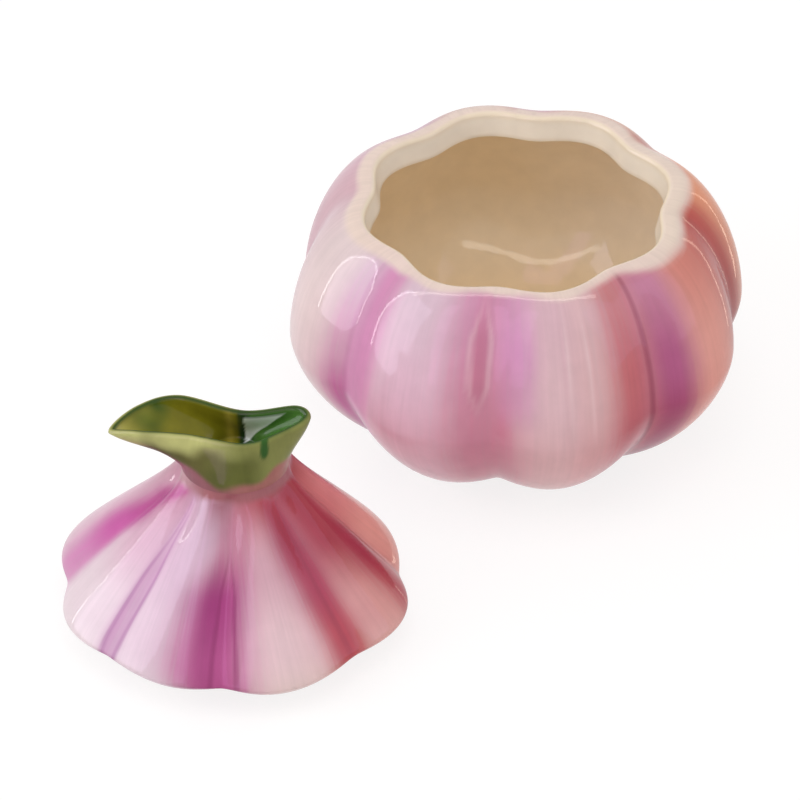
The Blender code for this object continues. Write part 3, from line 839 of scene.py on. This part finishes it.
def leafLoops():  # each loop with its place: how far up the wall, and 0 outside to 1 inside
    outer = lipColumns()
    half = sprout["wall"] / 2
    lower, innerLower = lipInset(outer, 0.0, half), lipInset(outer, sprout["wall"], half)
    neckRadius = sprout["neckRadius"]
    loops = [(leafLoop(lower, neckRadius - inward, -drop, 0.0), 0.0, 0.0) for inward, drop in sprout["sink"]]
    outerSteps, lipSteps, innerSteps, floorSteps = sprout["steps"]
    for step in range(outerSteps + 1):
        t = step / outerSteps
        loops.append((leafLoop(lower, neckRadius, 0.0, t), t, 0.0))
    for step in range(1, lipSteps):
        angle = math.pi * step / lipSteps
        ridge = lipInset(outer, half * (1 - math.cos(angle)), half * (1 - math.sin(angle)))
        loops.append(([lip for _, lip in ridge], 1.0, step / lipSteps))
    for step in range(innerSteps + 1):
        t = 1 - step / innerSteps
        loops.append((leafLoop(innerLower, sprout["well"], sprout["floor"], t), t, 1.0))
    floor = loops[-1][0]
    centre = sum(floor, Vector()) / len(floor)
    for step in range(1, floorSteps):
        loops.append(([mixed(p, centre, step / floorSteps) for p in floor], 0.0, 1.0))
    return loops


def skinLeaf(loops):
    bpy.ops.object.select_all(action="DESELECT")
    count = len(loops[0][0])
    bpy.ops.mesh.primitive_circle_add(vertices=count, radius=sprout["neckRadius"])
    piece = bpy.context.object
    mesh = piece.data
    for label, kind in (("column", "INT"), ("rise", "FLOAT"), ("inside", "FLOAT"), ("zone", "FLOAT")):
        mesh.attributes.new(label, kind, "POINT")
    for item, number in zip(mesh.attributes["column"].data, range(count)):
        item.value = number
    for number, (loop, rise, inside) in enumerate(loops):
        if number:
            bpy.ops.object.mode_set(mode="EDIT")
            bpy.ops.mesh.extrude_edges_move()
            bpy.ops.object.mode_set(mode="OBJECT")
        for vertex in mesh.vertices:
            if vertex.select or not number:
                vertex.co = loop[mesh.attributes["column"].data[vertex.index].value]
                mesh.attributes["rise"].data[vertex.index].value = rise
                mesh.attributes["inside"].data[vertex.index].value = inside
    bpy.ops.object.mode_set(mode="EDIT")
    bpy.ops.mesh.merge(type="CENTER")
    bpy.ops.mesh.select_all(action="DESELECT")
    bpy.ops.mesh.select_non_manifold()
    bpy.ops.mesh.edge_face_add()
    bpy.ops.mesh.select_all(action="SELECT")
    bpy.ops.mesh.normals_make_consistent(inside=False)
    bpy.ops.object.mode_set(mode="OBJECT")
    bpy.ops.object.shade_smooth()
    return piece


def leafEased(key, value):
    return eased(*sproutPaint[key], value)


def outerLeafTint(tone, side, rise, cloud):
    wander = sproutPaint["wander"]
    # the foot's dusky rose: partly glaze colour, partly painted shade where the leaf meets the neck
    neck = mixed(tone["neckLeft"], tone["neckRight"], leafEased("neckBlend", side))
    # the wall below the lip band is painted darker: partly the olive glaze, partly painted shade under the overhang
    wall = mixed(tone["outerLeft"], tone["outer"], leafEased("leftBlend", side))
    wall = mixed(wall, tone["outerRight"], leafEased("rightBlend", side))
    edge = mixed(tone["lipLeft"], tone["lipRight"], leafEased("lipBlend", side))
    wall = mixed(wall, edge, leafEased("lipBand", rise + cloud * wander["lip"]))
    low, width = sproutPaint["neckEnd"]
    for start, end, higher in (sproutPaint["neckEndLeft"], sproutPaint["neckEndRight"]):
        low += higher * eased(start, end, side)
    return mixed(neck, wall, eased(low, low + width, rise + cloud * wander["neck"]))


def innerLeafTint(tone, place, side, rise, cloud):
    wander = sproutPaint["wander"]
    patchSide, patchWidth = sproutPaint["patchPlace"]
    patch = math.exp(-((side - patchSide + cloud * wander["patchSide"]) / patchWidth) ** 2)
    patch *= leafEased("patchRise", rise + cloud * wander["patchRise"])
    cup = mixed(tone["innerLeft"], tone["innerPatch"], patch)
    cup = mixed(tone["innerTip"], cup, leafEased("tipBlend", side + cloud * wander["tip"]))
    across, streakWidth, strength = sproutPaint["streakPlace"]
    cup = mixed(cup, tone["innerStreak"], math.exp(-((place.x - across) / streakWidth) ** 2) * strength)
    cup = mixed(cup, tone["innerFold"], leafEased("foldEdge", place.x))
    cup = mixed(cup, tone["innerRight"], leafEased("rightEdge", place.x))
    # painted reflection: a white patch that stands for a window mirrored on the short lobe's slanted back wall
    upward = sproutPaint["wallUp"][0] * place.y + sproutPaint["wallUp"][1] * place.z
    (left, low), (right, high) = sproutPaint["reflectionCorners"]
    slope = upward - low - (high - low) * (place.x - left) / (right - left) + cloud * sproutPaint["reflectionWander"]
    start, end = sproutPaint["reflectionStart"]
    paintedReflection = leafEased("reflectionEdge", slope) * eased(left + start, left + end, place.x)
    return mixed(cup, tone["paintedReflection"], paintedReflection * leafEased("reflectionTop", rise))


def paintLeaf(piece):
    tone = {key: colourOf(code) for key, code in sproutPaint.items() if isinstance(code, str)}
    tints, strokes, shares = [], [], []
    across, level, halfWidth, halfRise = sproutPaint["dripPlace"]
    linePlace, lineWidth = sproutPaint["lipLine"]
    rises, insides = readLayer(piece, "rise"), readLayer(piece, "inside")
    for vertex, rise, inside in zip(piece.data.vertices, rises, insides):
        side = vertex.co.x / sprout["reach"]
        cloud = noise.noise(vertex.co * sproutPaint["cloudWaves"])
        outer = outerLeafTint(tone, side, rise, cloud)
        cup = innerLeafTint(tone, vertex.co, side, rise, cloud)
        tints.append(mixed(outer, cup, leafEased("cupEdge", inside)))
        line = math.exp(-((inside - linePlace) / lineWidth) ** 2) * leafEased("lipLineRise", rise)
        drip = (vertex.co.x - across) ** 2 / halfWidth ** 2 + (rise - level) ** 2 / halfRise ** 2
        onFront = inside < sproutPaint["cupEdge"][1] and vertex.co.y < 0
        drip = leafEased("dripEdge", drip + cloud) if onFront else 0.0
        strokes.append(tone["drip"] if drip > line else tone["lip"])
        shares.append(max(line, drip))
        vertex.co += lidAxis + Vector((capFlutes["lean"], 0.0, sprout["foot"]))
    storePaint(piece, tints, strokes, shares)
    piece.data.update()


leafGlaze = dict(glaze, streaks=9.0, streakShade=0.04, mottleDepth=0.12, speckShare=0.0, rippleHeight=0.00004,
                 glass=0.28, glassRoughness=0.09)
leaf = skinLeaf(leafLoops())
paintLeaf(leaf)
leafGloss = glazeMaterial("greenLeafGlaze", lidAxis, leafGlaze)
settle(leaf, "sproutGlazedLeaf", "lid", "leaf_green_glaze", leafGloss, "sprout_handle")

# Foot rings: wiped clean of glaze before firing, so the pots stand on bare clay
clay = {
    "pale": "#E4D6C2",
    "warm": "#D2BD9E",
    "grog": "#9C8266",
    "grogRange": (0.6, 0.75),  # from here on the grog's noise shows, and is strongest
    "grogStrength": 0.5,
    "cloudSize": 0.006,
    "grogSize": 0.0007,
    "grainHeight": 0.00005,
    "roughness": 0.9,
    "columns": 144,
    "cornerSteps": 6,
}
footRings = (
    # name, body, slot, CAD node, axis, outer radius, width, height up into the body, corner
    ("jarBareFoot", "jar", "bare_clay_jar_foot", "jar_foot_ring", jarAxis, 0.0295, 0.0045, 0.0026, 0.0006),
    ("lidBareFoot", "lid", "bare_clay_lid_foot", "lid_foot_ring", lidAxis, 0.0312, 0.0034, 0.0036, 0.0005),
)
for name, body, slotName, node, axis, radius, width, height, corner in footRings:
    section = [(radius, height), (radius, corner)]
    for centre, start in ((radius - corner, 0), (radius - width + corner, -90)):
        for step in range(1, clay["cornerSteps"] + 1):
            angle = math.radians(start - 90 / clay["cornerSteps"] * step)
            section.append((centre + corner * math.cos(angle), corner + corner * math.sin(angle)))
    section += [(radius - width, height)]
    ring = spunShell(name, [(r, z, 0.0, 0.0, 0.0, 0.0) for r, z in section], True, clay["columns"])
    for vertex in ring.data.vertices:
        vertex.co += axis
    settle(ring, name, body, slotName, clayMaterial("wipedBiscuitClay", clay), node)

stage = {
    "floorSize": 4.0,
    "floorDrop": 0.00005,
    "floor": "#F2F0EF",
    "floorGlow": 1.12,
    "whiteShare": 0.74,        # share of that glow in what the camera sees, so the shadow stays
    "ambient": "#FBF6F4",
    "ambientStrength": 0.64,
}


def backgroundRays(tree):  # 1 for rays that show the background, also off gloss and through glass
    rays = addNode(tree, "ShaderNodeLightPath", {}).outputs
    seen = maths(tree, "MAXIMUM", rays["Is Camera Ray"], rays["Is Glossy Ray"])
    return maths(tree, "MAXIMUM", seen, rays["Is Transmission Ray"])


# Pale floor, with the shadow kept faint as on a white studio table
bpy.ops.object.select_all(action="DESELECT")
bpy.ops.mesh.primitive_plane_add(size=stage["floorSize"], location=(0, 0, -stage["floorDrop"]))
floor = bpy.context.object
floor.name = "studioFloor"
paper, tree = newTree("paleStudioPaper")
diffuse = addNode(tree, "ShaderNodeBsdfDiffuse", {"Color": opaque(stage["floor"])})
white = addNode(tree, "ShaderNodeEmission", {"Color": (1, 1, 1, 1), "Strength": stage["floorGlow"]})
share = maths(tree, "MULTIPLY", backgroundRays(tree), stage["whiteShare"])
both = addNode(tree, "ShaderNodeMixShader", {0: share, 1: diffuse.outputs[0], 2: white.outputs[0]})
addNode(tree, "ShaderNodeOutputMaterial", {"Surface": both.outputs[0]})
floor.data.materials.append(paper)
floor.visible_glossy = False

# World: white to the camera, and a plain even light on the object
world = bpy.data.worlds.new("whiteStudio")
bpy.context.scene.world = world
world.use_nodes = True
tree = world.node_tree
tree.nodes.clear()
ambient = addNode(tree, "ShaderNodeBackground", {
    "Color": opaque(stage["ambient"]), "Strength": stage["ambientStrength"]})
white = addNode(tree, "ShaderNodeBackground", {"Color": (1, 1, 1, 1), "Strength": 1.0})
both = addNode(tree, "ShaderNodeMixShader", {0: backgroundRays(tree), 1: ambient.outputs[0], 2: white.outputs[0]})
addNode(tree, "ShaderNodeOutputWorld", {"Surface": both.outputs[0]})

# What the camera sees, fitted to the outline of both pieces in the square picture
view = {
    "pitch": 37.08,
    "distance": 1.23996,
    "height": 0.035,           # of the point on the jar's axis that it looks at
    "pictureSize": 800.0,
    "focalPixels": 4622.0,
    "axisPixel": (517.0, 304.9),
    "sensor": 36.0,
}


def softbox(name, azimuth, elevation, distance, size, radiance, tint, seenIn):
    turn, rise = math.radians(azimuth), math.radians(elevation)
    away = Vector((math.sin(turn) * math.cos(rise), -math.cos(turn) * math.cos(rise), math.sin(rise)))
    bpy.ops.object.light_add(type="AREA", location=away * distance + Vector((0, 0, view["height"])))
    lamp = bpy.context.object
    lamp.name = lamp.data.name = name
    lamp.rotation_euler = away.to_track_quat("Z", "Y").to_euler()
    lamp.data.shape = "RECTANGLE"
    lamp.data.size, lamp.data.size_y = size
    lamp.data.energy = radiance * math.pi * size[0] * size[1]
    lamp.data.color = colourOf(tint)
    lamp.visible_diffuse = seenIn != "gloss"
    lamp.visible_glossy = seenIn != "light"
    lamp.visible_camera = False
    return lamp


# Panels that the glaze mirrors, and softboxes that only light
softbox("tallWindow", -76.0, 23.0, 0.60, (0.46, 0.72), 4.6, "#F2E4FF", "gloss")
softbox("windowFrame", -99.0, 23.0, 0.60, (0.022, 0.72), 10.5, "#FFFFFF", "gloss")
softbox("frontWindow", -24.0, 34.0, 1.5, (0.30, 2.10), 2.8, "#F2B0F0", "gloss")
softbox("rightWindow", 76.0, 24.0, 1.5, (0.62, 1.50), 1.5, "#DCC8FF", "gloss")
softbox("rimStrip", 139.0, -6.0, 1.5, (0.05, 1.20), 4.2, "#FFE4CC", "gloss")
softbox("leftKey", -70.0, 35.0, 1.5, (0.7, 0.7), 2.6, "#FFFBF6", "light")
softbox("overheadSoftbox", 10.0, 74.0, 1.6, (0.9, 0.9), 1.9, "#FFFFFF", "light")
mouthStrip = softbox("mouthStrip", 0.0, 45.0, 0.1, (0.110, 0.009), 7.0, "#FFF6EA", "gloss")
mouthStrip.location = jarAxis + Vector((-0.006, -0.035, 0.105))

# The camera, turned so that the jar's axis falls on its pixel
pitch = math.radians(view["pitch"])
aim = Vector((0.0, math.cos(pitch), -math.sin(pitch)))
up = Vector((0.0, math.sin(pitch), math.cos(pitch)))
right = Vector((1.0, 0.0, 0.0))
middle, focal = view["pictureSize"] / 2, view["focalPixels"]
centreOff = [(middle - view["axisPixel"][0]) / focal, (view["axisPixel"][1] - middle) / focal]
bpy.ops.object.camera_add(location=jarAxis + Vector((0, 0, view["height"])) - aim * view["distance"])
camera = bpy.context.object
camera.name = "photoCamera"
back = -(aim + right * centreOff[0] + up * centreOff[1]).normalized()
side = (right - back * right.dot(back)).normalized()
camera.rotation_euler = Matrix((side, back.cross(side), back)).transposed().to_euler()
camera.data.sensor_width = view["sensor"]
camera.data.lens = focal * view["sensor"] / view["pictureSize"]
camera.data.clip_start = 0.01
bpy.context.scene.camera = camera
bpy.context.scene.view_settings.view_transform = "Standard"
print("stage, lamps and camera set")

bpy.context.view_layer.update()
